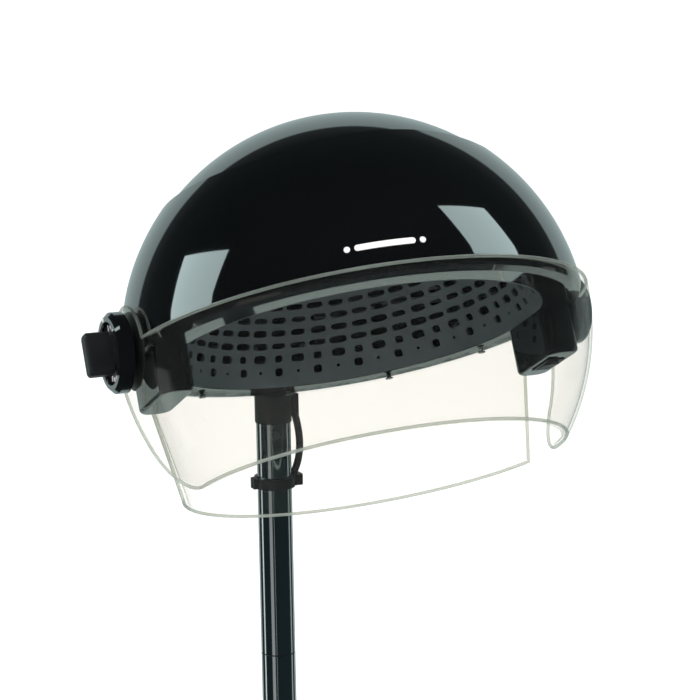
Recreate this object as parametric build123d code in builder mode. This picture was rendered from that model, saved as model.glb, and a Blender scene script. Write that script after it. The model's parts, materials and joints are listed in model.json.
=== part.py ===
from build123d import *
from math import atan2, cos, degrees, pi, radians, sin, sqrt
import os

os.makedirs("parts", exist_ok=True)

# Salon hood hair dryer on a round pole. Millimetres, +Z up, front towards -Y.
# The origin is the centre of the pole's bottom end. The head is drawn in its own
# frame, centred on the dome, and placed by the plane "head", which leans it back.

# pole and neck
pole_r = 16.0
pole_wall = 1.5
joint_z = 98.0
joint_gap = 1.2
neck_z = 319.0
neck_r = 17.0
neck_top = 347.0
pivot_z = 370.0
knuckle_r = 10.0
lug_half = 12.0
clip_z = 262.0

# head placing
head_pitch = 26.0
dome_y = -205.0
dome_z = 430.0

# dome
cover_r = 199.2
shell_r = 196.0
shell_in = 192.8
rim_z = 4.5
rim_r = 187.0
hinge_z = 10.4

# perforated inner bowl
bowl_r = 168.8
bowl_wall = 2.0
bowl_drop = 43.8
slot_len = 18.0
slot_w = 6.5
first_lift = 24.0
row_step = 4.6
row_count = 7

# clear visor and clear neck guard
visor_r = 204.2
visor_wall = 2.5
visor_top = 12.0
visor_bottom = -113.0
ear_r = 38.0
guard_top_r = 187.0
guard_low_r = 168.0
guard_wall = 2.5
guard_z = -112.0
guard_y = 46.0

# side housings, hinge and timer dial
box_in = 160.0
box_out = 190.0
box_half = 42.0
box_z = -36.0
boss_r = 33.0
boss_skin = 200.7
hub_r = 11.0
hub_x = 205.5
bezel_r = 34.0
bezel_x = 218.0
knob_x = 238.0

# blower and heater
motor_r = 31.0
fan_r = 70.0
heater_r = 95.0

big = 260.0
hinge = (0, 0, hinge_z)
lean = radians(head_pitch)
head = Plane(origin=(0, dome_y, dome_z), x_dir=(1, 0, 0), z_dir=(0, sin(lean), cos(lean)))
world = Plane.XY

# the tilt pivot sits on the pole axis; these are its coordinates in the head frame
pivot_y = -dome_y * cos(lean) - (pivot_z - dome_z) * sin(lean)
pivot_h = -dome_y * sin(lean) + (pivot_z - dome_z) * cos(lean)
pivot_lift = degrees(atan2(pivot_h, pivot_y))


def save(piece, label, home=head):
    placed = home.from_local_coords(piece.part)
    placed.label = label
    export_step(placed, f"parts/{label}.step")


def side(x, way=1):
    """Sketch plane square to X at x; local x is head Y, seen from +X or from -X."""
    return Plane(origin=(x, 0, 0), x_dir=(0, way, 0), z_dir=(way, 0, 0))


# ---------------------------------------------------------------- pole and neck
with BuildPart() as cable_path_tunnel:
    with BuildLine() as cable_line:
        Spline((18, 0, 336), (24, 0, 312), (25.5, 0, 292), (19.5, 0, 269), (6, 0, 250), (0, 0, 226))
        Line((0, 0, 226), (0, 0, 8))
    with BuildSketch(Plane(origin=(18, 0, 336), z_dir=cable_line.line @ 0.02 - cable_line.line @ 0)):
        Circle(4.0)
    sweep(path=cable_line.line)

with BuildPart() as power_cable:
    with BuildSketch(Plane(origin=(18, 0, 336), z_dir=cable_line.line @ 0.02 - cable_line.line @ 0)):
        Circle(3.4)
    sweep(path=cable_line.line)

with BuildPart() as pole_lower:
    with BuildSketch(Plane.XY):
        Circle(pole_r)
        Circle(pole_r - pole_wall, mode=Mode.SUBTRACT)
    extrude(amount=joint_z - joint_gap)

with BuildPart() as pole_upper:
    with BuildSketch(Plane.XY.offset(joint_z)):
        Circle(pole_r)
        Circle(pole_r - pole_wall, mode=Mode.SUBTRACT)
    extrude(amount=neck_z - joint_z)
    for height, turn in ((130, 165), (309, -15)):
        with BuildSketch(Plane.XZ.rotated((0, 0, turn))):
            with Locations((0, height)):
                Circle(2.0)
        extrude(amount=big, mode=Mode.SUBTRACT)
    add(cable_path_tunnel.part, mode=Mode.SUBTRACT)

with BuildPart() as pole_sleeve:
    with BuildSketch(Plane.XY.offset(50)):
        Circle(pole_r - pole_wall)
        Circle(pole_r - pole_wall - 2, mode=Mode.SUBTRACT)
    extrude(amount=96)
    with BuildSketch(Plane.XY.offset(joint_z - joint_gap)):
        Circle(pole_r - 0.7)
        Circle(pole_r - pole_wall - 2, mode=Mode.SUBTRACT)
    extrude(amount=joint_gap)
    with BuildSketch(Plane.XZ.rotated((0, 0, 165))):
        with Locations((0, 130)):
            Circle(2.0)
    extrude(amount=big, mode=Mode.SUBTRACT)

with BuildPart() as neck:
    with BuildSketch(Plane.XY.offset(neck_z)):
        Circle(neck_r)
    extrude(amount=neck_top - neck_z)
    fillet(neck.edges().group_by(Axis.Z)[-1], 3)
    with BuildSketch(Plane.XY.offset(neck_z - 28)):
        Circle(pole_r - pole_wall)
        Circle(8, mode=Mode.SUBTRACT)
    extrude(amount=28)
    with BuildSketch(side(-lug_half)):
        with Locations((0, pivot_z)):
            Circle(knuckle_r)
        with Locations((0, (neck_top - 5 + pivot_z) / 2)):
            Rectangle(2 * knuckle_r, pivot_z - neck_top + 5)
    extrude(amount=2 * lug_half)
    with BuildSketch(side(-big)):
        with Locations((0, pivot_z)):
            Circle(4.4)
    extrude(amount=2 * big, mode=Mode.SUBTRACT)
    with Locations((17.5, 0, 334)):
        Box(11, 13, 20)
    add(cable_path_tunnel.part, mode=Mode.SUBTRACT)
    with BuildSketch(Plane.XZ.rotated((0, 0, -15))):
        with Locations((0, 309)):
            Circle(2.0)
    extrude(amount=big, mode=Mode.SUBTRACT)

with BuildPart() as pole_screws:
    for height, turn in ((130, 165), (309, -15)):
        with BuildSketch(Plane.XZ.rotated((0, 0, turn)).offset(pole_r - 5.4)):
            with Locations((0, height)):
                Circle(2.0)
        extrude(amount=5.4)
        with BuildSketch(Plane.XZ.rotated((0, 0, turn)).offset(pole_r)):
            with Locations((0, height)):
                Circle(3.6)
        extrude(amount=1.8)
        with BuildSketch(Plane.XZ.rotated((0, 0, turn)).offset(pole_r + 1.0)):
            with Locations((0, height)):
                Rectangle(5.0, 0.9)
                Rectangle(0.9, 5.0)
        extrude(amount=1.0, mode=Mode.SUBTRACT)

with BuildPart() as pole_clip:
    with BuildSketch(Plane.XY.offset(clip_z - 5)):
        Circle(pole_r + 3)
        with Locations((20, 0)):
            RectangleRounded(13, 12, 2)
        with Locations((-18.5, 0)):
            Rectangle(7, 9)
        Circle(pole_r, mode=Mode.SUBTRACT)
    extrude(amount=10)
    with BuildSketch(Plane.XY.offset(clip_z - 5)):
        with Locations((-20, 0)):
            Rectangle(9, 2)
    extrude(amount=10, mode=Mode.SUBTRACT)
    add(cable_path_tunnel.part, mode=Mode.SUBTRACT)

save(pole_lower, "pole_lower", world)
save(pole_upper, "pole_upper", world)
save(pole_sleeve, "pole_sleeve", world)
save(pole_screws, "pole_screws", world)
save(neck, "neck", world)
save(power_cable, "power_cable", world)
save(pole_clip, "pole_clip", world)

# ---------------------------------------------------------------- outer dome
intake_lift = radians(55)
intake = Plane(
    origin=(0, 150 * cos(intake_lift), 150 * sin(intake_lift)),
    x_dir=(1, 0, 0),
    z_dir=(0, cos(intake_lift), sin(intake_lift)),
)
bracket = Plane(
    origin=(0, pivot_y, pivot_h),
    x_dir=(1, 0, 0),
    z_dir=(0, cos(radians(pivot_lift)), sin(radians(pivot_lift))),
)

with BuildPart() as main_shell:
    Sphere(shell_r)
    Sphere(shell_in, mode=Mode.SUBTRACT)
    split(bisect_by=Plane.XY.offset(rim_z + 3.5), keep=Keep.TOP)
    # air intake louvres high on the back
    with BuildSketch(intake):
        for row in range(-3, 4):
            with Locations((0, 11 * row)):
                SlotOverall(2 * sqrt(42**2 - (11 * row) ** 2), 4.5)
    extrude(amount=big, mode=Mode.SUBTRACT)
    # timer shaft hole on the left, hinge screws on both sides
    with BuildSketch(side(-big)):
        with Locations((0, hinge_z)):
            Circle(5)
    extrude(amount=big, mode=Mode.SUBTRACT)
    with BuildSketch(side(-big)):
        with Locations((27, hinge_z), (-27, hinge_z), (0, hinge_z + 27)):
            Circle(2.2)
    extrude(amount=2 * big, mode=Mode.SUBTRACT)
    # bracket screws and the supply lead
    with BuildSketch(bracket.offset(-60)):
        with GridLocations(47, 30, 2, 2):
            Circle(2.5)
        with Locations((0, -46)):
            Circle(5)
    extrude(amount=60, mode=Mode.SUBTRACT)

with BuildPart() as front_cover:
    with BuildSketch(Plane.XZ):
        with BuildLine():
            low = (sqrt(cover_r**2 - 14**2), 14)
            ThreePointArc((shell_r, rim_z + 2), (197.6, 9.6), low)
            RadiusArc(low, (0, cover_r), -cover_r)
            Line((0, cover_r), (0, shell_r))
            RadiusArc((0, shell_r), (shell_r, rim_z - rim_z), shell_r)
            Line((shell_r, 0), (shell_r, rim_z + 2))
        make_face()
    revolve(axis=Axis.Z)
    # the cover ends just behind the hinges, with rounded upper corners
    with BuildSketch(side(-big)):
        with BuildLine():
            Polyline((34, 106), (34, 6.5), (-big, 6.5), (-big, big), (-10, big), (-10, 150))
            ThreePointArc((-10, 150), (21, 137), (34, 106))
        make_face()
    extrude(amount=2 * big, mode=Mode.INTERSECT)
    # and its top edge is a shallow arch, highest at the front
    with BuildSketch(Plane.XZ.offset(-big)):
        with BuildLine():
            Polyline((-100, 133.5), (-big, 136), (-big, big), (big, big), (big, 136), (100, 133.5))
            ThreePointArc((100, 133.5), (0, 142.5), (-100, 133.5))
        make_face()
    extrude(amount=2 * big, mode=Mode.SUBTRACT)
    # relief behind the cover, leaving a seating band round its edge
    with BuildPart(mode=Mode.PRIVATE) as relief:
        Sphere(shell_r + 1.5)
        with BuildSketch(side(-big)):
            with BuildLine():
                Polyline((-big, 120), (2, 120), (20, 98), (20, 20), (-big, 20), (-big, 120))
            make_face()
            with Locations((0, hinge_z)):
                Circle(boss_r + 4, mode=Mode.SUBTRACT)
        extrude(amount=2 * big, mode=Mode.INTERSECT)
        Sphere(shell_r - 1, mode=Mode.SUBTRACT)
    add(relief.part, mode=Mode.SUBTRACT)
    with BuildSketch(side(-big)):
        with Locations((0, hinge_z)):
            Circle(5)
    extrude(amount=big, mode=Mode.SUBTRACT)
    with BuildSketch(side(-big)):
        with Locations((27, hinge_z), (-27, hinge_z), (0, hinge_z + 27)):
            Circle(2.2)
    extrude(amount=2 * big, mode=Mode.SUBTRACT)

# plain raised badge bar on the front of the cover
badge_turn = radians(-11)
badge_lift = radians(8.7)
badge_plane = Plane(
    origin=(
        150 * sin(badge_turn) * cos(badge_lift),
        -150 * cos(badge_turn) * cos(badge_lift),
        150 * sin(badge_lift),
    ),
    x_dir=(cos(badge_turn), sin(badge_turn), 0),
    z_dir=(
        sin(badge_turn) * cos(badge_lift),
        -cos(badge_turn) * cos(badge_lift),
        sin(badge_lift),
    ),
)
with BuildPart() as badge:
    Sphere(cover_r + 0.8)
    with BuildSketch(badge_plane):
        SlotOverall(50, 5)
        with Locations((-31, 0), (31, 0)):
            Circle(2.5)
    extrude(amount=80, mode=Mode.INTERSECT)
    Sphere(cover_r, mode=Mode.SUBTRACT)

with BuildPart() as rim_ring:
    with BuildSketch(Plane.XZ):
        with BuildLine():
            Polyline(
                (158, rim_z),
                (rim_r, rim_z),
                (shell_r - 0.2, rim_z + 2),
                (shell_r - 0.2, rim_z + 3.5),
                (158, rim_z + 3.5),
                (158, rim_z),
            )
        make_face()
    revolve(axis=Axis.Z)
    with Locations((0, 0, -bowl_drop)):
        Sphere(bowl_r + bowl_wall, mode=Mode.SUBTRACT)
    # windows over both side housings for the timer and the wiring
    with BuildSketch(Plane.XY):
        with Locations((-177.5, 0), (177.5, 0)):
            Rectangle(25, 66)
    extrude(amount=20, mode=Mode.SUBTRACT)
    with BuildSketch(side(-big)):
        with Locations((0, hinge_z)):
            Circle(5)
    extrude(amount=big, mode=Mode.SUBTRACT)


def bowl_plane(turn, lift):
    """Plane square to the bowl wall, turned about the head axis, local x along the row."""
    out = (cos(lift) * cos(turn), cos(lift) * sin(turn), sin(lift))
    start = tuple(150 * value for value in out)
    origin = (start[0], start[1], start[2] - bowl_drop)
    return Plane(origin=origin, x_dir=(-sin(turn), cos(turn), 0), z_dir=out)


# staggered rows of slots, a row of round holes next to the rim and wider rows at the crown
slot_planes = []
for row in range(row_count):
    lift = radians(first_lift + row_step * row)
    count = int(2 * pi * bowl_r * cos(lift) / 25)
    for place in range(count):
        slot_planes.append(bowl_plane(2 * pi * (place + 0.5 * (row % 2)) / count, lift))
for row in range(3):
    lift = radians(first_lift + row_step * row_count + 3 + 8 * row)
    count = int(2 * pi * bowl_r * cos(lift) / 30)
    for place in range(count):
        slot_planes.append(bowl_plane(2 * pi * (place + 0.5 * (row % 2)) / count, lift))
hole_planes = [bowl_plane(2 * pi * place / 36, radians(20.2)) for place in range(36)]
nose = slot_w / 2

with BuildPart() as diffuser:
    with Locations((0, 0, -bowl_drop)):
        Sphere(bowl_r + bowl_wall)
        Sphere(bowl_r, mode=Mode.SUBTRACT)
    split(bisect_by=Plane.XY.offset(rim_z), keep=Keep.TOP)
    with BuildSketch(*slot_planes):
        Polygon(
            (slot_len / 2, 0),
            (slot_len / 2 - 2.5, nose),
            (2.5 - slot_len / 2, nose),
            (-slot_len / 2, 0),
            (2.5 - slot_len / 2, -nose),
            (slot_len / 2 - 2.5, -nose),
        )
    extrude(amount=40, mode=Mode.SUBTRACT)
    with BuildSketch(*hole_planes):
        RegularPolygon(3.4, 6)
    extrude(amount=40, mode=Mode.SUBTRACT)

save(main_shell, "main_shell")
save(front_cover, "front_cover")
save(badge, "badge")
save(rim_ring, "rim_ring")
save(diffuser, "diffuser")

# ---------------------------------------------------------------- side housings
def housing(way, opening):
    with BuildPart() as box:
        with BuildSketch(Plane.XY.offset(box_z)):
            with Locations((way * (box_in + box_out) / 2, 0)):
                RectangleRounded(box_out - box_in, 2 * box_half, 12)
        extrude(amount=rim_z - box_z)
        fillet(box.edges().group_by(Axis.Z)[0], 4)
        with BuildSketch(Plane.XY.offset(box_z + 2.5)):
            with Locations((way * (box_in + box_out) / 2, 0)):
                RectangleRounded(box_out - box_in - 5, 2 * box_half - 5, 9.5)
        extrude(amount=60, mode=Mode.SUBTRACT)
        if opening:
            with BuildSketch(Plane.XY.offset(box_z - 1)):
                with Locations((way * (box_in + box_out) / 2, 0)):
                    Rectangle(14, 30)
            extrude(amount=6, mode=Mode.SUBTRACT)
    return box


housing_left = housing(-1, False)
housing_right = housing(1, True)

with BuildPart() as timer_unit:
    with Locations((-177.5, 0, 10.2)):
        Box(20, 34, 36.4)
    Sphere(shell_in, mode=Mode.INTERSECT)
    with BuildSketch(side(-big)):
        with Locations((0, hinge_z)):
            Circle(4.5)
    extrude(amount=big - 172, mode=Mode.SUBTRACT)

switch_x = (box_in + box_out) / 2
with BuildPart() as switch_body:
    with BuildSketch(Plane.XY.offset(box_z - 1)):
        with Locations((switch_x, 0)):
            Rectangle(17, 33)
            Rectangle(11, 25, mode=Mode.SUBTRACT)
    extrude(amount=1)
    with BuildSketch(Plane.XY.offset(box_z)):
        with Locations((switch_x, 0)):
            Rectangle(14, 30)
            Rectangle(11, 25, mode=Mode.SUBTRACT)
    extrude(amount=16)
    with BuildSketch(Plane.XY.offset(box_z + 14)):
        with Locations((switch_x, 0)):
            Rectangle(14, 30)
    extrude(amount=2)

# rocker: a shallow V seen from the side, rocking about its middle
with BuildPart() as heat_rocker:
    with BuildSketch(side(switch_x - 5.1)):
        with BuildLine():
            Polyline(
                (-11, box_z - 3.6),
                (0, box_z - 1.4),
                (11, box_z - 1.4),
                (11, box_z + 3.0),
                (4, box_z + 8.0),
                (-4, box_z + 8.0),
                (-11, box_z + 3.0),
                (-11, box_z - 3.6),
            )
        make_face()
    extrude(amount=10.2)
    # trunnions on the rocking axis
    with BuildSketch(side(switch_x - 5.45)):
        with Locations((0, box_z + 3)):
            Circle(1.6)
    extrude(amount=10.9)

save(housing_left, "housing_left")
save(housing_right, "housing_right")
save(timer_unit, "timer_unit")
save(switch_body, "switch_body")
save(heat_rocker, "heat_rocker")

# ---------------------------------------------------------------- hinges and timer dial
def hinge_boss(way):
    with BuildPart() as boss:
        with BuildSketch(side(way * 185, way)):
            with Locations((0, hinge_z)):
                Circle(boss_r)
        extrude(amount=hub_x - 185)
        with Locations(hinge):
            Sphere(boss_skin, rotation=(0, 0, 90), mode=Mode.INTERSECT)
        with BuildSketch(side(way * 199, way)):
            with Locations((0, hinge_z)):
                Circle(hub_r)
        extrude(amount=hub_x - 199)
        Sphere(cover_r + 0.05, rotation=(0, 0, 90), mode=Mode.SUBTRACT)
        if way < 0:
            with BuildSketch(side(way * 185, way)):
                with Locations((0, hinge_z)):
                    Circle(4)
            extrude(amount=30, mode=Mode.SUBTRACT)
        with BuildSketch(side(way * 185, way)):
            with Locations((27, hinge_z), (-27, hinge_z), (0, hinge_z + 27)):
                Circle(2)
        extrude(amount=13.1, mode=Mode.SUBTRACT)
        # the part of the disc hanging below the dome is trimmed level with the rim
        split(bisect_by=Plane.XY.offset(hinge_z - boss_r + 1), keep=Keep.TOP)
    return boss


hinge_boss_left = hinge_boss(-1)
hinge_boss_right = hinge_boss(1)

with BuildPart() as hinge_screws:
    for way in (-1, 1):
        with BuildSketch(side(way * 189.3, way)):
            with Locations((27, hinge_z), (-27, hinge_z)):
                Circle(2)
        extrude(amount=8.8)
        with BuildSketch(side(way * 186.6, way)):
            with Locations((27, hinge_z), (-27, hinge_z)):
                Circle(3.6)
        extrude(amount=2.7)
        with BuildSketch(side(way * 187.9, way)):
            with Locations((0, hinge_z + 27)):
                Circle(2)
        extrude(amount=10.2)
        with BuildSketch(side(way * 185.2, way)):
            with Locations((0, hinge_z + 27)):
                Circle(3.6)
        extrude(amount=2.7)

with BuildPart() as dial_bezel:
    with BuildSketch(side(-hub_x, -1)):
        with Locations((0, hinge_z)):
            Circle(bezel_r)
    extrude(amount=bezel_x - hub_x)
    chamfer(dial_bezel.faces().sort_by(Axis.X)[0].edges(), 3.5)
    with BuildSketch(side(-bezel_x, -1)):
        with Locations((0, hinge_z)):
            Circle(26.5)
    extrude(amount=-(bezel_x - hub_x - 4), mode=Mode.SUBTRACT)
    with BuildSketch(side(-bezel_x, -1)):
        with Locations((0, hinge_z)):
            Circle(4)
    extrude(amount=-20, mode=Mode.SUBTRACT)

with BuildPart() as dial_index:
    with BuildSketch(side(-bezel_x, -1)):
        with Locations((0, hinge_z + 28.6)):
            Circle(1.6)
    extrude(amount=0.6)

with BuildPart() as dial_plate:
    with BuildSketch(side(-209.5, -1)):
        with Locations((0, hinge_z)):
            Circle(26)
            Circle(3, mode=Mode.SUBTRACT)
    extrude(amount=5)

with BuildPart() as dial_marks:
    for mark in range(12):
        angle = radians(30 * mark)
        with BuildSketch(side(-214.5, -1)):
            with Locations((21.5 * sin(angle), hinge_z + 21.5 * cos(angle))):
                Rectangle(1.2, 5, rotation=-30 * mark)
        extrude(amount=0.4)

with BuildPart() as timer_knob:
    with BuildSketch(side(-214.5, -1)):
        with Locations((0, hinge_z)):
            Circle(15)
            Circle(3, mode=Mode.SUBTRACT)
    extrude(amount=2.5)
    with BuildSketch(side(-217, -1)):
        with Locations((0, hinge_z)):
            RectangleRounded(15, 37, 5)
            Circle(3, mode=Mode.SUBTRACT)
    extrude(amount=knob_x - 217 - 4)
    with BuildSketch(side(-knob_x + 4, -1)):
        with Locations((0, hinge_z)):
            RectangleRounded(15, 37, 5)
    extrude(amount=4)
    fillet(timer_knob.faces().sort_by(Axis.X)[0].edges(), 3)

with BuildPart() as timer_shaft:
    with BuildSketch(side(-174, -1)):
        with Locations((0, hinge_z)):
            Circle(3)
    extrude(amount=knob_x - 4 - 174)

with BuildPart() as hinge_cap:
    with BuildSketch(side(hub_x)):
        with Locations((0, hinge_z)):
            Circle(30)
    extrude(amount=9.5)
    fillet(hinge_cap.faces().sort_by(Axis.X)[-1].edges(), 5)

save(hinge_boss_left, "hinge_boss_left")
save(hinge_boss_right, "hinge_boss_right")
save(hinge_screws, "hinge_screws")
save(dial_bezel, "dial_bezel")
save(dial_index, "dial_index")
save(dial_plate, "dial_plate")
save(dial_marks, "dial_marks")
save(timer_knob, "timer_knob")
save(timer_shaft, "timer_shaft")
save(hinge_cap, "hinge_cap")

# ---------------------------------------------------------------- visor and neck guard
with BuildPart() as visor:
    with Locations(hinge):
        Sphere(visor_r)
        Sphere(visor_r - visor_wall, mode=Mode.SUBTRACT)
    with BuildSketch(side(-big)):
        with BuildLine():
            Line((-big, visor_top), (0, visor_top))
            Line((0, visor_top), (36, visor_top))
            Line((36, visor_top), (33, -66))
            ThreePointArc((33, -66), (19, -99), (-14, visor_bottom))
            Line((-14, visor_bottom), (-big, visor_bottom))
            Line((-big, visor_bottom), (-big, visor_top))
        make_face()
        with Locations((0, hinge_z)):
            Circle(ear_r)
    extrude(amount=2 * big, mode=Mode.INTERSECT)
    # thicker bottom lip turned inwards
    with BuildPart(mode=Mode.PRIVATE) as lip:
        with Locations(hinge):
            Sphere(visor_r - 1)
            Sphere(visor_r - visor_wall - 2.2, mode=Mode.SUBTRACT)
        with BuildSketch(side(-big)):
            with BuildLine():
                Polyline((-14, visor_bottom), (-big, visor_bottom), (-big, visor_bottom + 4))
                Polyline((-big, visor_bottom + 4), (-14, visor_bottom + 4), (-14, visor_bottom))
            make_face()
        extrude(amount=2 * big, mode=Mode.INTERSECT)
    add(lip.part)
    with BuildSketch(side(-big)):
        with Locations((0, hinge_z)):
            Circle(13)
    extrude(amount=2 * big, mode=Mode.SUBTRACT)

with BuildPart() as visor_bushes:
    for way in (-1, 1):
        with BuildSketch(side(way * 201, way)):
            with Locations((0, hinge_z)):
                Circle(13)
                Circle(hub_r + 0.3, mode=Mode.SUBTRACT)
        extrude(amount=3.9)

with BuildPart() as neck_guard:
    with BuildSketch(Plane.XZ):
        with BuildLine():
            Polyline(
                (guard_top_r - 12, rim_z - 2.5),
                (guard_top_r - guard_wall, rim_z - 2.5),
                (guard_low_r - guard_wall - 1.2, guard_z + 8),
                (guard_low_r - guard_wall - 2.2, guard_z),
                (guard_low_r, guard_z),
                (guard_top_r, rim_z),
                (guard_top_r - 12, rim_z),
                (guard_top_r - 12, rim_z - 2.5),
            )
        make_face()
    revolve(axis=Axis.Z)
    with BuildSketch(side(-big)):
        with Locations((guard_y + big / 2, 0)):
            Rectangle(big, big)
    extrude(amount=2 * big, mode=Mode.INTERSECT)
    with BuildSketch(Plane.XY.offset(-20)):
        with PolarLocations(guard_top_r - 7, 5, 30, 120, endpoint=True):
            Circle(2)
    extrude(amount=60, mode=Mode.SUBTRACT)

with BuildPart() as guard_screws:
    with BuildSketch(Plane.XY.offset(rim_z - 2.5)):
        with PolarLocations(guard_top_r - 7, 5, 30, 120, endpoint=True):
            Circle(2)
    extrude(amount=2.5)
    with BuildSketch(Plane.XY.offset(rim_z - 3.3)):
        with PolarLocations(guard_top_r - 7, 5, 30, 120, endpoint=True):
            Circle(3.4)
    extrude(amount=0.8)

save(visor, "visor")
save(visor_bushes, "visor_bushes")
save(neck_guard, "neck_guard")
save(guard_screws, "guard_screws")

# ---------------------------------------------------------------- blower and heater
with BuildPart() as motor_mount:
    with BuildSketch(Plane.XY.offset(178)):
        Circle(40)
    extrude(amount=20)
    Sphere(shell_in, mode=Mode.INTERSECT)

with BuildPart() as motor:
    with BuildSketch(Plane.XY.offset(151)):
        Circle(motor_r)
    extrude(amount=27)
    fillet(motor.edges().group_by(Axis.Z)[0], 3)
    with BuildSketch(Plane.XY.offset(147)):
        Circle(9)
    extrude(amount=4)
    with BuildSketch(Plane.XY.offset(140)):
        Circle(3.6)
    extrude(amount=28, mode=Mode.SUBTRACT)

with BuildPart() as motor_shaft:
    with BuildSketch(Plane.XY.offset(128)):
        Circle(3)
    extrude(amount=38)

with BuildPart() as fan_impeller:
    with BuildSketch(Plane.XY.offset(129)):
        Circle(11)
    extrude(amount=15.5)
    with BuildSketch(Plane.XY.offset(142)):
        Circle(fan_r)
    extrude(amount=2)
    with BuildSketch(Plane.XY.offset(130)):
        with PolarLocations(46, 9):
            Rectangle(42, 1.8, rotation=28)
    extrude(amount=12.5)
    with BuildSketch(Plane.XY.offset(120)):
        Circle(3)
    extrude(amount=40, mode=Mode.SUBTRACT)

with BuildPart() as heater_coils:
    for ring in (heater_r - 6, heater_r + 6):
        with BuildSketch(Plane.XZ):
            with Locations((ring, 124)):
                Circle(2.6)
        revolve(axis=Axis.Z)

with BuildPart() as heater_cards:
    with BuildSketch(Plane.XY.offset(109)):
        with PolarLocations(heater_r, 6):
            Rectangle(28, 1.6)
    extrude(amount=90)
    Sphere(shell_in, mode=Mode.INTERSECT)
    add(heater_coils.part, mode=Mode.SUBTRACT)

with BuildPart() as heater_ring:
    with BuildSketch(Plane.XY.offset(106)):
        Circle(105)
        Circle(98, mode=Mode.SUBTRACT)
    extrude(amount=3)

with BuildPart() as thermostat:
    with BuildSketch(Plane.XY.offset(112)):
        with Locations((95, 95)):
            Circle(9)
    extrude(amount=60)
    Sphere(shell_in, mode=Mode.INTERSECT)

with BuildPart() as terminal_block:
    with Locations((0, 158, 96)):
        Box(36, 28, 14)
    Sphere(shell_in, mode=Mode.INTERSECT)

with BuildPart() as filter_pad:
    with BuildSketch(intake):
        Circle(47)
    extrude(amount=60)
    Sphere(shell_in, mode=Mode.INTERSECT)
    Sphere(shell_in - 3, mode=Mode.SUBTRACT)


def wire(points, radius):
    with BuildPart() as lead:
        with BuildLine() as run:
            Spline(*points)
        with BuildSketch(Plane(origin=run.line @ 0, z_dir=run.line % 0)):
            Circle(radius)
        sweep(path=run.line)
    return lead


motor_lead = wire([(0, 142, 104), (0, 112, 136), (0, 70, 162), (0, 31.6, 168)], 2.5)
timer_lead = wire([(-19.6, 150, 96), (-105, 128, 66), (-158, 62, 46), (-173, 20.5, 24)], 2.5)
switch_lead = wire(
    [(19.6, 150, 96), (105, 128, 66), (158, 62, 48), (174, 16, 30), (173.5, 5, 8), (173.5, 5, -19.2)],
    2.5,
)
heater_lead = wire([(12, 150, 87), (15, 143, 83), (26, 122, 97), (32.4, 103.6, 107.5)], 2.0)

save(motor_mount, "motor_mount")
save(motor, "motor")
save(motor_shaft, "motor_shaft")
save(fan_impeller, "fan_impeller")
save(heater_coils, "heater_coils")
save(heater_cards, "heater_cards")
save(heater_ring, "heater_ring")
save(thermostat, "thermostat")
save(terminal_block, "terminal_block")
save(filter_pad, "filter_pad")
save(motor_lead, "motor_lead")
save(timer_lead, "timer_lead")
save(switch_lead, "switch_lead")
save(heater_lead, "heater_lead")

# ---------------------------------------------------------------- tilt bracket
with BuildPart() as head_bracket:
    with BuildSketch(bracket.offset(-26)):
        RectangleRounded(56, 42, 6)
    extrude(amount=26 - 14.1)
    for way in (-1, 1):
        with BuildSketch(side(way * 13.8, way)):
            with Locations((way * pivot_y, pivot_h)):
                Circle(12.6)
            with BuildLine():
                base_low = bracket.from_local_coords((0, -18, -20))
                base_top = bracket.from_local_coords((0, 18, -20))
                tip_low = bracket.from_local_coords((0, -12.6, 6))
                tip_top = bracket.from_local_coords((0, 12.6, 6))
                Polyline(
                    (way * base_low.Y, base_low.Z),
                    (way * base_top.Y, base_top.Z),
                    (way * tip_top.Y, tip_top.Z),
                    (way * tip_low.Y, tip_low.Z),
                    (way * base_low.Y, base_low.Z),
                )
            make_face()
        extrude(amount=5)
    Sphere(shell_r, mode=Mode.SUBTRACT)
    with BuildSketch(side(-big)):
        with Locations((pivot_y, pivot_h)):
            Circle(4)
    extrude(amount=2 * big, mode=Mode.SUBTRACT)
    with BuildSketch(bracket.offset(-60)):
        with GridLocations(47, 30, 2, 2):
            Circle(2.5)
    extrude(amount=60, mode=Mode.SUBTRACT)

with BuildPart() as bracket_screws:
    with BuildSketch(bracket.offset(-26.5)):
        with GridLocations(47, 30, 2, 2):
            Circle(2.5)
    extrude(amount=12.4)
    with BuildSketch(bracket.offset(-14.1)):
        with GridLocations(47, 30, 2, 2):
            Circle(4.2)
    extrude(amount=3)

with BuildPart() as pivot_bolt:
    with BuildSketch(side(-25.3)):
        with Locations((pivot_y, pivot_h)):
            RegularPolygon(7.5, 6)
    extrude(amount=6.5)
    with BuildSketch(side(-18.8)):
        with Locations((pivot_y, pivot_h)):
            Circle(4)
    extrude(amount=66)

with BuildPart() as friction_washers:
    for start in (-13.8, lug_half + 0.3, 18.8):
        with BuildSketch(side(start)):
            with Locations((pivot_y, pivot_h)):
                Circle(12)
                Circle(4, mode=Mode.SUBTRACT)
        extrude(amount=1.5)

with BuildPart() as tilt_knob:
    with BuildSketch(side(20.6)):
        with Locations((pivot_y, pivot_h)):
            Circle(9)
    extrude(amount=14)
    with BuildSketch(side(34)):
        with Locations((pivot_y, pivot_h)):
            Circle(20)
            with PolarLocations(23, 6):
                Circle(6, mode=Mode.SUBTRACT)
    extrude(amount=16)
    fillet(tilt_knob.faces().sort_by(Axis.X)[-1].edges(), 2)
    with BuildSketch(side(0)):
        with Locations((pivot_y, pivot_h)):
            Circle(4.3)
    extrude(amount=big, mode=Mode.SUBTRACT)

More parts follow.
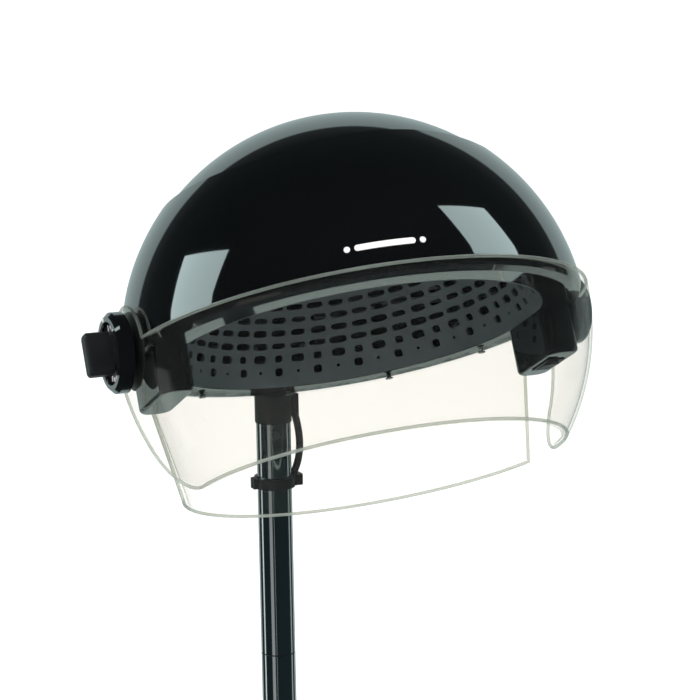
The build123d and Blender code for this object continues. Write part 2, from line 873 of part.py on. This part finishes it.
shroud_outline = [(150, 104), (208, 102), (233, 88), (244, 66), (244, 38), (227, 16), (150, 16)]
shroud_inside = [(140, 101.5), (207, 99.5), (231, 86.3), (241.5, 65), (241.5, 36), (250, 30)]
shroud_inside += [(226, 0), (140, 0)]
with BuildPart() as bracket_shroud:
    with BuildSketch(side(-32)):
        with BuildLine():
            Polyline(*shroud_outline, close=True)
        make_face()
        fillet(vertices().group_by(Axis.Z)[-1], 1)
    extrude(amount=64)
    with BuildSketch(side(-29.5)):
        with BuildLine():
            Polyline(*shroud_inside, close=True)
        make_face()
    extrude(amount=59, mode=Mode.SUBTRACT)
    Sphere(shell_r, mode=Mode.SUBTRACT)
    with BuildSketch(side(0)):
        with Locations((pivot_y, pivot_h)):
            Circle(9.6)
    extrude(amount=big, mode=Mode.SUBTRACT)

save(head_bracket, "head_bracket")
save(bracket_screws, "bracket_screws")
save(pivot_bolt, "pivot_bolt")
save(friction_washers, "friction_washers")
save(tilt_knob, "tilt_knob")
save(bracket_shroud, "bracket_shroud")
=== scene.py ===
import bpy
import bmesh
import json
import math
from mathutils import Matrix, Vector


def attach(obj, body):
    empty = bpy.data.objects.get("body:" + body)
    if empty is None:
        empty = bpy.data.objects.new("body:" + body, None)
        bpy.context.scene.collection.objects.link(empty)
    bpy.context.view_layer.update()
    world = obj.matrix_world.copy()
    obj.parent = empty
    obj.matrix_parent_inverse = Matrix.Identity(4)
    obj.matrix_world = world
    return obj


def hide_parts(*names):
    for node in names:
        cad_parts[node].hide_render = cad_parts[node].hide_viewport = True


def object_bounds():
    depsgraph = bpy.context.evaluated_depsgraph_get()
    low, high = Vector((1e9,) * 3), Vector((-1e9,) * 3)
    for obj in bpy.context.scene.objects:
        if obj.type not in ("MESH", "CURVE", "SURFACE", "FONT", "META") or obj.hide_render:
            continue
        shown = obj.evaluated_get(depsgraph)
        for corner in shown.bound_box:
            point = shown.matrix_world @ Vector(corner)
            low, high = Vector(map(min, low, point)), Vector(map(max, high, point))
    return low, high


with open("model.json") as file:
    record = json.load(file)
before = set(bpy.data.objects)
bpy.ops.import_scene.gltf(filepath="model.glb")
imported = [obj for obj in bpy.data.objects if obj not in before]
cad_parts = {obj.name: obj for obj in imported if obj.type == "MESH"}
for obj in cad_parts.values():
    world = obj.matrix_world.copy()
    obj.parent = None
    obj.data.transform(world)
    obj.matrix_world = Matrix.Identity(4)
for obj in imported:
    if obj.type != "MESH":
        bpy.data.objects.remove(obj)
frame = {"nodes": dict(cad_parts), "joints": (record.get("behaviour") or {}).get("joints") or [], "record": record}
cad_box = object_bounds()

# ------------------------------------------------------------------ head frame
# sizes of the CAD parts that the pieces here follow, in millimetres in the head's own frame
HINGE_Z = 10.4
RIM_Z = 4.5
COVER_R = 199.2
joints = {j["name"]: j for j in frame["joints"]}
HINGE = Vector(joints["visor_lift"]["pos_m"])
UP = Vector(joints["fan_spin"]["axis"]).normalized()
SIDE = Vector((1, 0, 0))
BACK = UP.cross(SIDE)
DOME = HINGE - HINGE_Z / 1000 * UP


def head(x, y, z):
    """A point of the head's own frame, in millimetres from the dome's centre, in metres."""
    return DOME + (SIDE * x + BACK * y + UP * z) / 1000


# ------------------------------------------------------------------ materials
def new_mat(name):
    mat = bpy.data.materials.new(name)
    mat.use_nodes = True
    tree = mat.node_tree
    bsdf = tree.nodes["Principled BSDF"]
    coord = tree.nodes.new("ShaderNodeTexCoord")
    return mat, tree, bsdf, coord.outputs["Object"]


def noise(tree, vec, scale, detail=3.0, rough=0.5):
    node = tree.nodes.new("ShaderNodeTexNoise")
    node.inputs["Scale"].default_value = scale
    node.inputs["Detail"].default_value = detail
    node.inputs["Roughness"].default_value = rough
    tree.links.new(vec, node.inputs["Vector"])
    return node.outputs["Fac"]


def ramp(tree, fac, stops):
    node = tree.nodes.new("ShaderNodeValToRGB")
    elements = node.color_ramp.elements
    while len(elements) < len(stops):
        elements.new(0.5)
    for element, (at, col) in zip(elements, stops):
        element.position = at
        element.color = (*col, 1) if len(col) == 3 else col
    tree.links.new(fac, node.inputs["Fac"])
    return node.outputs["Color"]


def span(tree, fac, low, high):
    node = tree.nodes.new("ShaderNodeMapRange")
    node.inputs["To Min"].default_value = low
    node.inputs["To Max"].default_value = high
    tree.links.new(fac, node.inputs["Value"])
    return node.outputs["Result"]


def bump(tree, bsdf, fac, strength, distance):
    node = tree.nodes.new("ShaderNodeBump")
    node.inputs["Strength"].default_value = strength
    node.inputs["Distance"].default_value = distance
    tree.links.new(fac, node.inputs["Height"])
    tree.links.new(node.outputs["Normal"], bsdf.inputs["Normal"])


def plastic(name, dark, light, rough, scale, grain, depth, coat=0.0, spec=0.5):
    mat, tree, bsdf, vec = new_mat(name)
    colour = ramp(tree, noise(tree, vec, scale), [(0.3, dark), (0.7, light)])
    tree.links.new(colour, bsdf.inputs["Base Color"])
    tree.links.new(span(tree, noise(tree, vec, scale * 2.3, 5), rough[0], rough[1]), bsdf.inputs["Roughness"])
    bump(tree, bsdf, noise(tree, vec, grain, 4), 0.25, depth)
    bsdf.inputs["Coat Weight"].default_value = coat
    bsdf.inputs["Coat Roughness"].default_value = 0.02
    bsdf.inputs["Specular IOR Level"].default_value = spec
    return mat


def metal(name, dark, light, rough, scale, stretch=(1, 1, 1)):
    mat, tree, bsdf, vec = new_mat(name)
    mapping = tree.nodes.new("ShaderNodeMapping")
    mapping.inputs["Scale"].default_value = stretch
    tree.links.new(vec, mapping.inputs["Vector"])
    out = mapping.outputs["Vector"]
    colour = ramp(tree, noise(tree, out, scale), [(0.25, dark), (0.75, light)])
    tree.links.new(colour, bsdf.inputs["Base Color"])
    tree.links.new(span(tree, noise(tree, out, scale * 3, 4), rough[0], rough[1]), bsdf.inputs["Roughness"])
    bsdf.inputs["Metallic"].default_value = 1.0
    bump(tree, bsdf, noise(tree, out, scale * 5, 3), 0.08, 0.0003)
    return mat


def clear(name, tint, edge, milk, gloss=0.35):
    """Clear moulded plastic: a tinted see-through sheet, darker seen edge-on, with a mirror finish."""
    mat = bpy.data.materials.new(name)
    mat.use_nodes = True
    tree = mat.node_tree
    tree.nodes.clear()
    out = tree.nodes.new("ShaderNodeOutputMaterial")
    coord = tree.nodes.new("ShaderNodeTexCoord")
    weight = tree.nodes.new("ShaderNodeLayerWeight")
    weight.inputs["Blend"].default_value = 0.5
    see = tree.nodes.new("ShaderNodeBsdfTransparent")
    colour = ramp(tree, weight.outputs["Facing"], [(0.0, tint), (0.85, tint), (1.0, edge)])
    tree.links.new(colour, see.inputs["Color"])
    haze = tree.nodes.new("ShaderNodeBsdfTranslucent")
    haze.inputs["Color"].default_value = (0.76, 0.84, 0.82, 1)
    body = tree.nodes.new("ShaderNodeMixShader")
    cloud = noise(tree, coord.outputs["Object"], 9.0, 4)
    tree.links.new(span(tree, cloud, milk * 0.6, milk * 1.4), body.inputs["Fac"])
    tree.links.new(see.outputs[0], body.inputs[1])
    tree.links.new(haze.outputs[0], body.inputs[2])
    shine = tree.nodes.new("ShaderNodeBsdfGlossy")
    shine.inputs["Roughness"].default_value = 0.03
    wave = tree.nodes.new("ShaderNodeBump")
    wave.inputs["Strength"].default_value = 0.12
    wave.inputs["Distance"].default_value = 0.002
    tree.links.new(noise(tree, coord.outputs["Object"], 14.0, 2), wave.inputs["Height"])
    tree.links.new(wave.outputs["Normal"], shine.inputs["Normal"])
    fresnel = tree.nodes.new("ShaderNodeFresnel")
    # a sheet seen from inside has the inverse index, or it would mirror everything past 42 degrees
    side = tree.nodes.new("ShaderNodeNewGeometry")
    tree.links.new(span(tree, side.outputs["Backfacing"], 1.49, 1 / 1.49), fresnel.inputs["IOR"])
    less = tree.nodes.new("ShaderNodeMath")
    less.operation = "MULTIPLY"
    less.inputs[1].default_value = gloss
    tree.links.new(fresnel.outputs[0], less.inputs[0])
    top = tree.nodes.new("ShaderNodeMixShader")
    tree.links.new(less.outputs[0], top.inputs["Fac"])
    tree.links.new(body.outputs[0], top.inputs[1])
    tree.links.new(shine.outputs[0], top.inputs[2])
    tree.links.new(top.outputs[0], out.inputs["Surface"])
    return mat


def foam(name):
    mat, tree, bsdf, vec = new_mat(name)
    cells = tree.nodes.new("ShaderNodeTexVoronoi")
    cells.inputs["Scale"].default_value = 420
    tree.links.new(vec, cells.inputs["Vector"])
    colour = ramp(tree, cells.outputs["Distance"], [(0.1, (0.003, 0.003, 0.003)), (0.6, (0.03, 0.03, 0.032))])
    tree.links.new(colour, bsdf.inputs["Base Color"])
    bsdf.inputs["Roughness"].default_value = 0.95
    bump(tree, bsdf, cells.outputs["Distance"], 0.8, 0.001)
    return mat


mats = {
    "gloss_black": plastic(
        "gloss_black", (0.0016, 0.0017, 0.0019), (0.003, 0.0031, 0.0034),
        (0.035, 0.07), 6, 300, 0.00002, coat=1.0, spec=0.5,
    ),
    "satin_black": plastic(
        "satin_black", (0.006, 0.007, 0.008), (0.013, 0.014, 0.015), (0.32, 0.46), 30, 900, 0.00015,
    ),
    "bowl_grey": plastic(
        "bowl_grey", (0.034, 0.048, 0.052), (0.048, 0.064, 0.068), (0.34, 0.5), 14, 700, 0.0001,
    ),
    "chrome": metal("chrome", (0.56, 0.62, 0.63), (0.68, 0.73, 0.74), (0.05, 0.12), 25, (1, 1, 0.1)),
    "steel": metal("steel", (0.42, 0.43, 0.44), (0.6, 0.61, 0.62), (0.22, 0.38), 90),
    "cast_aluminium": metal("cast_aluminium", (0.32, 0.33, 0.34), (0.46, 0.47, 0.48), (0.4, 0.6), 160),
    "motor_paint": plastic(
        "motor_paint", (0.03, 0.032, 0.035), (0.05, 0.052, 0.055), (0.3, 0.45), 40, 600, 0.0001,
    ),
    "mica": plastic("mica", (0.4, 0.33, 0.2), (0.62, 0.54, 0.38), (0.35, 0.6), 70, 300, 0.0002),
    "heating_wire": metal("heating_wire", (0.16, 0.13, 0.11), (0.3, 0.26, 0.22), (0.4, 0.6), 120),
    "white_mark": plastic("white_mark", (0.7, 0.7, 0.69), (0.8, 0.8, 0.79), (0.35, 0.5), 60, 500, 0.00005),
    "rubber": plastic("rubber", (0.012, 0.013, 0.014), (0.022, 0.023, 0.024), (0.5, 0.7), 50, 800, 0.0002),
    "filter_foam": foam("filter_foam"),
    "clear_plastic": clear("clear_visor", (0.955, 0.951, 0.934), (0.72, 0.75, 0.7), 0.008),
}
mats["clear_guard"] = clear("clear_guard", (0.955, 0.949, 0.93), (0.7, 0.71, 0.66), 0.006)
mats["clear_edge"] = clear("clear_edge", (0.86, 0.86, 0.81), (0.45, 0.46, 0.41), 0.35, 1.0)

slots = {s["node"]: s["material_slot"] for s in frame["record"]["subparts"]}
for name, obj in frame["nodes"].items():
    mat = mats["clear_guard"] if name == "neck_guard" else mats[slots[name]]
    for material_slot in obj.material_slots:
        material_slot.material = mat


# ------------------------------------------------------------------ mesh helpers
def mesh_piece(name, bm, mat, body, smooth=True):
    mesh = bpy.data.meshes.new(name)
    bmesh.ops.recalc_face_normals(bm, faces=bm.faces)
    bm.to_mesh(mesh)
    bm.free()
    obj = bpy.data.objects.new(name, mesh)
    bpy.context.collection.objects.link(obj)
    mesh.materials.append(mats[mat])
    for face in mesh.polygons:
        face.use_smooth = smooth
    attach(obj, body)
    return obj


def tube(bm, path, radius, closed=True, sides=10):
    """A round bead along a path of points."""
    count = len(path)
    rings = []
    for i, p in enumerate(path):
        a = path[(i - 1) % count] if closed or i else p
        b = path[(i + 1) % count] if closed or i < count - 1 else p
        along = (b - a).normalized()
        out = (p - HINGE).normalized()
        across = along.cross(out).normalized()
        out = across.cross(along)
        ring = []
        for s in range(sides):
            turn = 2 * math.pi * s / sides
            ring.append(bm.verts.new(p + radius * (math.cos(turn) * out + math.sin(turn) * across)))
        rings.append(ring)
    last = count if closed else count - 1
    for i in range(last):
        one, two = rings[i], rings[(i + 1) % count]
        for s in range(sides):
            t = (s + 1) % sides
            bm.faces.new((one[s], one[t], two[t], two[s]))
    if not closed:
        bm.faces.new(rings[0])
        bm.faces.new(rings[-1])


def resample(points, step):
    """Points a fixed step apart along a closed loop."""
    out = []
    count = len(points)
    for i in range(count):
        a, b = points[i], points[(i + 1) % count]
        pieces = max(1, int(round((b - a).length / step)))
        for k in range(pieces):
            out.append(a.lerp(b, k / pieces))
    return out


# ------------------------------------------------------------------ visor edge bead
EDGE_R = 202.9
VISOR_TOP, VISOR_LOW = 12.0, -112.2
EAR_R = 38.0


def visor_outline():
    """The visor's edge as head Y and Z: back along its top, round one ear and forward along its bottom."""
    r = EDGE_R
    pts = []
    rise = VISOR_TOP - HINGE_Z
    flat = math.sqrt(r * r - rise ** 2)
    for i in range(60):
        turn = math.radians(1 + 78.3 * i / 59)
        pts.append((-flat * math.cos(turn), VISOR_TOP))
    start = math.atan2(rise, -math.sqrt(EAR_R ** 2 - rise ** 2))
    bead_r = EAR_R * 0.985
    for i in range(1, 40):
        turn = start - math.radians(177) * i / 39
        pts.append((bead_r * math.cos(turn), HINGE_Z + bead_r * math.sin(turn)))
    for i in range(1, 20):
        t = i / 19
        pts.append((36.2 - 3.6 * t, 4 - 69 * t))
    centre, radius = (-13.2, -66.2), 46.0
    for i in range(1, 22):
        turn = math.radians(-90 * i / 21)
        pts.append((centre[0] + radius * math.cos(turn), centre[1] + radius * math.sin(turn)))
    low = math.sqrt(r * r - (HINGE_Z - VISOR_LOW) ** 2)
    for i in range(1, 60):
        turn = math.radians(84.6 - 83.6 * i / 59)
        pts.append((-low * math.cos(turn), VISOR_LOW))
    return pts


def on_sphere(y, z, sign, r=EDGE_R):
    return head(sign * math.sqrt(max(r * r - y * y - (z - HINGE_Z) ** 2, 0.0)), y, z)


half = visor_outline()
loop = [on_sphere(y, z, -1) for y, z in half] + [on_sphere(y, z, 1) for y, z in reversed(half)]
bead = bmesh.new()
tube(bead, resample(loop, 0.004), 0.0014)
mesh_piece("visor_edge_bead", bead, "clear_edge", "visor")


# ------------------------------------------------------------------ neck guard edge bead
GUARD_TOP_R, GUARD_LOW_R, GUARD_DEPTH = 187.0, 168.0, 116.5
GUARD_END_Y = 47.2
BEAD_INSET = 1.3
GUARD_LOW = -111.0


def guard_radius(z):
    """The guard tapers evenly from its top to its bottom; the bead runs inside its outer face."""
    return GUARD_TOP_R - (RIM_Z - z) * (GUARD_TOP_R - GUARD_LOW_R) / GUARD_DEPTH - BEAD_INSET


def guard_point(turn, z):
    r = guard_radius(z)
    return head(r * math.cos(turn), r * math.sin(turn), z)


def guard_turn(z):
    """Where the guard's end lies, as an angle round the dome's axis."""
    return math.asin(GUARD_END_Y / guard_radius(z))


path = [guard_point(guard_turn(z), z) for z in range(0, -111, -3)]
low_turn = guard_turn(GUARD_LOW)
path += [guard_point(low_turn + (math.pi - 2 * low_turn) * i / 120, GUARD_LOW) for i in range(121)]
path += [guard_point(math.pi - guard_turn(z), z) for z in range(-108, 1, 3)]
bead = bmesh.new()
tube(bead, path, 0.0014, closed=False)
mesh_piece("guard_edge_bead", bead, "clear_edge", "head")

# ------------------------------------------------------------------ perforated bowl
BOWL_R, BOWL_OUT, BOWL_DROP = 168.8, 170.8, 43.8


def bowl(r, turn, lift):
    flat = r * math.cos(lift)
    return head(flat * math.cos(turn), flat * math.sin(turn), r * math.sin(lift) - BOWL_DROP)


def slot_outline(a, b, points=16):
    """A rounded slot outline, half length a and half width b."""
    out = []
    for i in range(points):
        t = 2 * math.pi * (i + 0.5) / points
        c, s = math.cos(t), math.sin(t)
        k = 0.62
        out.append((a * math.copysign(abs(c) ** k, c), b * math.copysign(abs(s) ** k, s)))
    return out


def cell_outline(u, v, points=16):
    """Points on the cell's border in the same directions as the slot's outline."""
    out = []
    for i in range(points):
        t = 2 * math.pi * (i + 0.5) / points
        c, s = math.cos(t), math.sin(t)
        k = 1 / max(abs(c), abs(s))
        out.append((u * c * k, v * s * k))
    return out


def jitter(i, j, k):
    """A fixed pseudo-random number from 0 to 1."""
    value = math.sin(i * 12.9898 + j * 78.233 + k * 37.719) * 43758.5453
    return value - math.floor(value)


bm = bmesh.new()
ROW_PITCH, SLOT_PITCH = 12.0, 18.6
step = ROW_PITCH / BOWL_R
rim_lift = math.asin((RIM_Z + BOWL_DROP) / BOWL_R)
first = rim_lift + 0.045
rows = int((math.pi / 2 - first - 0.1) / step)


def band(low, high, count=180):
    def circle(r, lift):
        return [bm.verts.new(bowl(r, 2 * math.pi * i / count, lift)) for i in range(count)]

    inner = [circle(BOWL_R, low), circle(BOWL_R, high)]
    outer = [circle(BOWL_OUT, low), circle(BOWL_OUT, high)]
    for i in range(count):
        j = (i + 1) % count
        bm.faces.new((inner[0][i], inner[0][j], inner[1][j], inner[1][i]))
        bm.faces.new((outer[0][i], outer[1][i], outer[1][j], outer[0][j]))
        bm.faces.new((inner[0][i], outer[0][i], outer[0][j], inner[0][j]))
        bm.faces.new((inner[1][i], inner[1][j], outer[1][j], outer[1][i]))


band(rim_lift, first)
for row in range(rows):
    lift = first + step * (row + 0.5)
    count = max(6, int(2 * math.pi * BOWL_R * math.cos(lift) / SLOT_PITCH))
    cell = math.pi / count
    width = BOWL_R * math.cos(lift) * cell
    for place in range(count):
        mid = 2 * math.pi * (place + 0.5 * (row % 2)) / count
        half_long = min(7.4, width - 1.4) * (0.86 + 0.24 * jitter(row, place, 1))
        half_wide = 3.1 * (0.85 + 0.3 * jitter(row, place, 2))
        shift = (0.8 * (jitter(row, place, 3) - 0.5), 0.5 * (jitter(row, place, 4) - 0.5))
        if row == 0:
            half_long, half_wide = (1.5, 1.4) if place % 2 else (3.9, 3.7)
        elif row == 1:
            half_long, half_wide = (3.8, 3.4) if place % 2 else (6.2, 3.8)
        hole = slot_outline(half_long, half_wide)
        edge = cell_outline(width, ROW_PITCH / 2)
        rings = []
        for r, outline in ((BOWL_R, edge), (BOWL_R, hole), (BOWL_OUT, hole), (BOWL_OUT, edge)):
            ring = []
            for k, (a, b) in enumerate(outline):
                if outline is hole:
                    a, b = a + shift[0], b + shift[1]
                ring.append(bm.verts.new(bowl(r, mid + a / width * cell, lift + b / BOWL_R)))
            rings.append(ring)
        for one, two in zip(rings, rings[1:]):
            for k in range(16):
                m = (k + 1) % 16
                bm.faces.new((one[k], one[m], two[m], two[k]))
        for ring, r in ((rings[0], BOWL_R), (rings[3], BOWL_OUT)):
            for sx, sy, k in ((1, 1, 1), (-1, 1, 5), (-1, -1, 9), (1, -1, 13)):
                corner = bm.verts.new(bowl(r, mid + sx * cell, lift + sy * step / 2))
                bm.faces.new((ring[k], corner, ring[k + 1]))
top_lift = first + step * rows
cap = 24
for r in (BOWL_R, BOWL_OUT):
    levels = 4
    rings = []
    for level in range(levels):
        lift = top_lift + (math.pi / 2 - top_lift) * level / levels
        rings.append([bm.verts.new(bowl(r, 2 * math.pi * i / cap, lift)) for i in range(cap)])
    pole_vert = bm.verts.new(bowl(r, 0, math.pi / 2))
    for one, two in zip(rings, rings[1:]):
        for i in range(cap):
            j = (i + 1) % cap
            bm.faces.new((one[i], one[j], two[j], two[i]))
    for i in range(cap):
        bm.faces.new((rings[-1][i], rings[-1][(i + 1) % cap], pole_vert))
bmesh.ops.remove_doubles(bm, verts=bm.verts, dist=0.00002)
bowl_obj = mesh_piece("perforated_bowl", bm, "bowl_grey", "head", smooth=False)
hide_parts("diffuser")


# ------------------------------------------------------------------ dial numbers
def dial_text(name, body, angle, text, size, r, x):
    """Small generic numbers, standing on the dial plate and read from the left side."""
    curve = bpy.data.curves.new(name, "FONT")
    curve.body = text
    curve.size = size
    curve.align_x = "CENTER"
    curve.align_y = "CENTER"
    curve.extrude = 0.00012
    obj = bpy.data.objects.new(name, curve)
    bpy.context.collection.objects.link(obj)
    outward = Vector((-1, 0, 0))
    local_up = (UP * math.cos(angle) - BACK * math.sin(angle)).normalized()
    local_right = local_up.cross(outward)
    place = HINGE + Vector((x, 0, 0)) + local_up * r
    basis = Matrix((local_right, local_up, outward)).transposed().to_4x4()
    obj.matrix_world = Matrix.Translation(place) @ basis
    curve.materials.append(mats["white_mark"])
    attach(obj, body)


NUMBER_SIZE, NUMBER_RADIUS, DIAL_FACE_X = 0.0052, 0.0215, -0.21462
for i in range(6):
    turn = math.radians(60 * i + 15)
    dial_text(f"dial_number_{i}", "timer_knob", turn, str(10 * i), NUMBER_SIZE, NUMBER_RADIUS, DIAL_FACE_X)

# ------------------------------------------------------------------ camera
PSI, ELEV, DIST, FOCAL = math.radians(-21.99), math.radians(11.34), 2.5, 2930.6
ROLL, PAN, TILT = math.radians(-0.99), math.radians(-0.10), math.radians(-0.15)
offset = DIST * Vector((math.sin(PSI) * math.cos(ELEV), -math.cos(PSI) * math.cos(ELEV), math.sin(ELEV)))
fwd = -offset.normalized()
right = fwd.cross(Vector((0, 0, 1))).normalized()
above = right.cross(fwd)
fwd = (fwd + math.tan(PAN) * right + math.tan(TILT) * above).normalized()
right = fwd.cross(Vector((0, 0, 1))).normalized()
above = right.cross(fwd)
level, upright = right, above
right = level * math.cos(ROLL) + upright * math.sin(ROLL)
above = upright * math.cos(ROLL) - level * math.sin(ROLL)
cam_data = bpy.data.cameras.new("camera")
cam_data.lens = FOCAL / 700 * 36
cam_data.sensor_width = 36
cam_data.clip_end = 50
cam = bpy.data.objects.new("camera", cam_data)
bpy.context.collection.objects.link(cam)
cam.matrix_world = Matrix.Translation(DOME + offset) @ Matrix((right, above, -fwd)).transposed().to_4x4()
bpy.context.scene.camera = cam

# ------------------------------------------------------------------ floor, world and lights
floor_mesh = bpy.data.meshes.new("floor")
floor_mesh.from_pydata([(-30, -30, 0), (30, -30, 0), (30, 30, 0), (-30, 30, 0)], [], [(0, 1, 2, 3)])
floor = bpy.data.objects.new("floor", floor_mesh)
bpy.context.collection.objects.link(floor)
floor.location.z = cad_box[0].z - 0.0005
floor_mat, tree, bsdf, vec = new_mat("floor_white")
pale = ramp(tree, noise(tree, vec, 0.6), [(0.3, (0.93, 0.93, 0.93)), (0.7, (0.95, 0.95, 0.95))])
tree.links.new(pale, bsdf.inputs["Base Color"])
bsdf.inputs["Roughness"].default_value = 0.9
bsdf.inputs["Specular IOR Level"].default_value = 0.0
bsdf.inputs["Emission Color"].default_value = (1, 1, 1, 1)
bsdf.inputs["Emission Strength"].default_value = 0.12
floor_mesh.materials.append(floor_mat)
floor.visible_glossy = False

world = bpy.data.worlds.new("world")
bpy.context.scene.world = world
world.use_nodes = True
tree = world.node_tree
background = tree.nodes["Background"]
coord = tree.nodes.new("ShaderNodeTexCoord")
dot = tree.nodes.new("ShaderNodeVectorMath")
dot.operation = "DOT_PRODUCT"
dot.inputs[1].default_value = fwd
tree.links.new(coord.outputs["Generated"], dot.inputs[0])
# what shiny parts mirror: a dark room, and beyond the object a bright wall with a sharp edge
behind = ramp(tree, dot.outputs["Value"], [
    (0.0, (0.012, 0.02, 0.022)),
    (0.55, (0.02, 0.03, 0.032)),
    (0.70, (0.05, 0.06, 0.062)),
    (0.72, (0.43, 0.53, 0.53)),
    (1.0, (0.36, 0.45, 0.45)),
])
path_node = tree.nodes.new("ShaderNodeLightPath")
mix = tree.nodes.new("ShaderNodeMix")
mix.data_type = "RGBA"
tree.links.new(path_node.outputs["Is Glossy Ray"], mix.inputs[0])
mix.inputs[6].default_value = (1.0, 1.0, 1.0, 1)
tree.links.new(behind, mix.inputs[7])
tree.links.new(mix.outputs[2], background.inputs["Color"])
background.inputs["Strength"].default_value = 1.0


def softbox(name, aim, direction, distance, size, power, spread=math.pi):
    data = bpy.data.lights.new(name, "AREA")
    data.shape = "RECTANGLE"
    data.size, data.size_y = size
    data.energy = power
    data.spread = spread
    obj = bpy.data.objects.new(name, data)
    bpy.context.collection.objects.link(obj)
    direction = direction.normalized()
    obj.location = aim + direction * distance
    obj.rotation_mode = "QUATERNION"
    obj.rotation_quaternion = direction.to_track_quat("Z", "Y")
    return obj


def mirror_dir(point, normal):
    """Where the camera sees, reflected at a point of the dome."""
    look = (point - cam.matrix_world.translation).normalized()
    return look - 2 * look.dot(normal) * normal


def glow_card(name, mesh, strength, colour):
    """A mesh that glows and is seen only in reflections."""
    obj = bpy.data.objects.new(name, mesh)
    bpy.context.collection.objects.link(obj)
    mat = bpy.data.materials.new(name)
    mat.use_nodes = True
    tree = mat.node_tree
    tree.nodes.clear()
    glow = tree.nodes.new("ShaderNodeEmission")
    glow.inputs["Color"].default_value = colour
    glow.inputs["Strength"].default_value = strength
    out = tree.nodes.new("ShaderNodeOutputMaterial")
    tree.links.new(glow.outputs[0], out.inputs["Surface"])
    mesh.materials.append(mat)
    obj.visible_camera = False
    obj.visible_diffuse = False
    obj.visible_shadow = False
    obj.visible_transmission = False


def reflector(name, corners, strength, distance=2.2):
    """A glowing card seen only in reflections, whose mirror image on the dome has these corners."""
    bm = bmesh.new()
    steps = 6
    grid = []
    a, b, c, d = [Vector(v) for v in corners]
    for i in range(steps + 1):
        row = []
        for k in range(steps + 1):
            u, v = k / steps, i / steps
            mix_top = a.lerp(b, u)
            mix_low = d.lerp(c, u)
            spot = mix_top.lerp(mix_low, v).normalized() * COVER_R
            point = head(*spot)
            row.append(bm.verts.new(point + mirror_dir(point, (point - DOME).normalized()) * distance))
        grid.append(row)
    for i in range(steps):
        for k in range(steps):
            bm.faces.new((grid[i][k], grid[i][k + 1], grid[i + 1][k + 1], grid[i + 1][k]))
    mesh = bpy.data.meshes.new(name)
    bm.to_mesh(mesh)
    bm.free()
    glow_card(name, mesh, strength, (0.8, 1.0, 1.0, 1))


def strip(name, azimuth, width, strength, height=(-1.2, 1.6), distance=2.5):
    """A tall narrow glowing card for the pole's reflections, by the angle round the pole."""
    turn = math.radians(azimuth)
    out = Vector((math.sin(turn), -math.cos(turn), 0))
    across = Vector((math.cos(turn), math.sin(turn), 0)) * width / 2
    low, high = height
    outline = ((-1, low), (1, low), (1, high), (-1, high))
    verts = [out * distance + across * s + Vector((0, 0, h)) for s, h in outline]
    mesh = bpy.data.meshes.new(name)
    mesh.from_pydata(verts, [], [(0, 1, 2, 3)])
    glow_card(name, mesh, strength, (1, 1, 1, 1))


reflector("reflector_left", [(-168, -87, 64), (-144, -127, 55), (-162, -114, 17), (-185, -73, 16)], 3.9)
reflector("reflector_right", [(15, -190, 59), (58, -182, 56), (81, -181, 17), (36, -195, 18)], 3.75)
# bearing round the pole in degrees, width in metres, strength
pole_strips = ((-119, 0.5, 0.9), (-52, 0.9, 0.35), (-30, 0.12, 0.3), (84, 0.5, 0.4))
for place, (turn_at, wide, glow_by) in enumerate(pole_strips):
    strip(f"strip_{place}", turn_at, wide, glow_by, height=(-1.5, -0.13))
key = softbox("key_left", DOME, Vector((-1.2, -1.6, 0.5)), 2.6, (1.4, 1.4), 25)
fill = softbox("fill_right", DOME, Vector((1.4, -1.4, 0.3)), 2.6, (1.4, 1.4), 18)
top = softbox("top_fill", DOME, Vector((0.1, 0.3, 1)), 2.6, (2.0, 2.0), 20)
for light in (key, fill, top):
    light.visible_glossy = False

bpy.context.scene.view_settings.view_transform = "Standard"
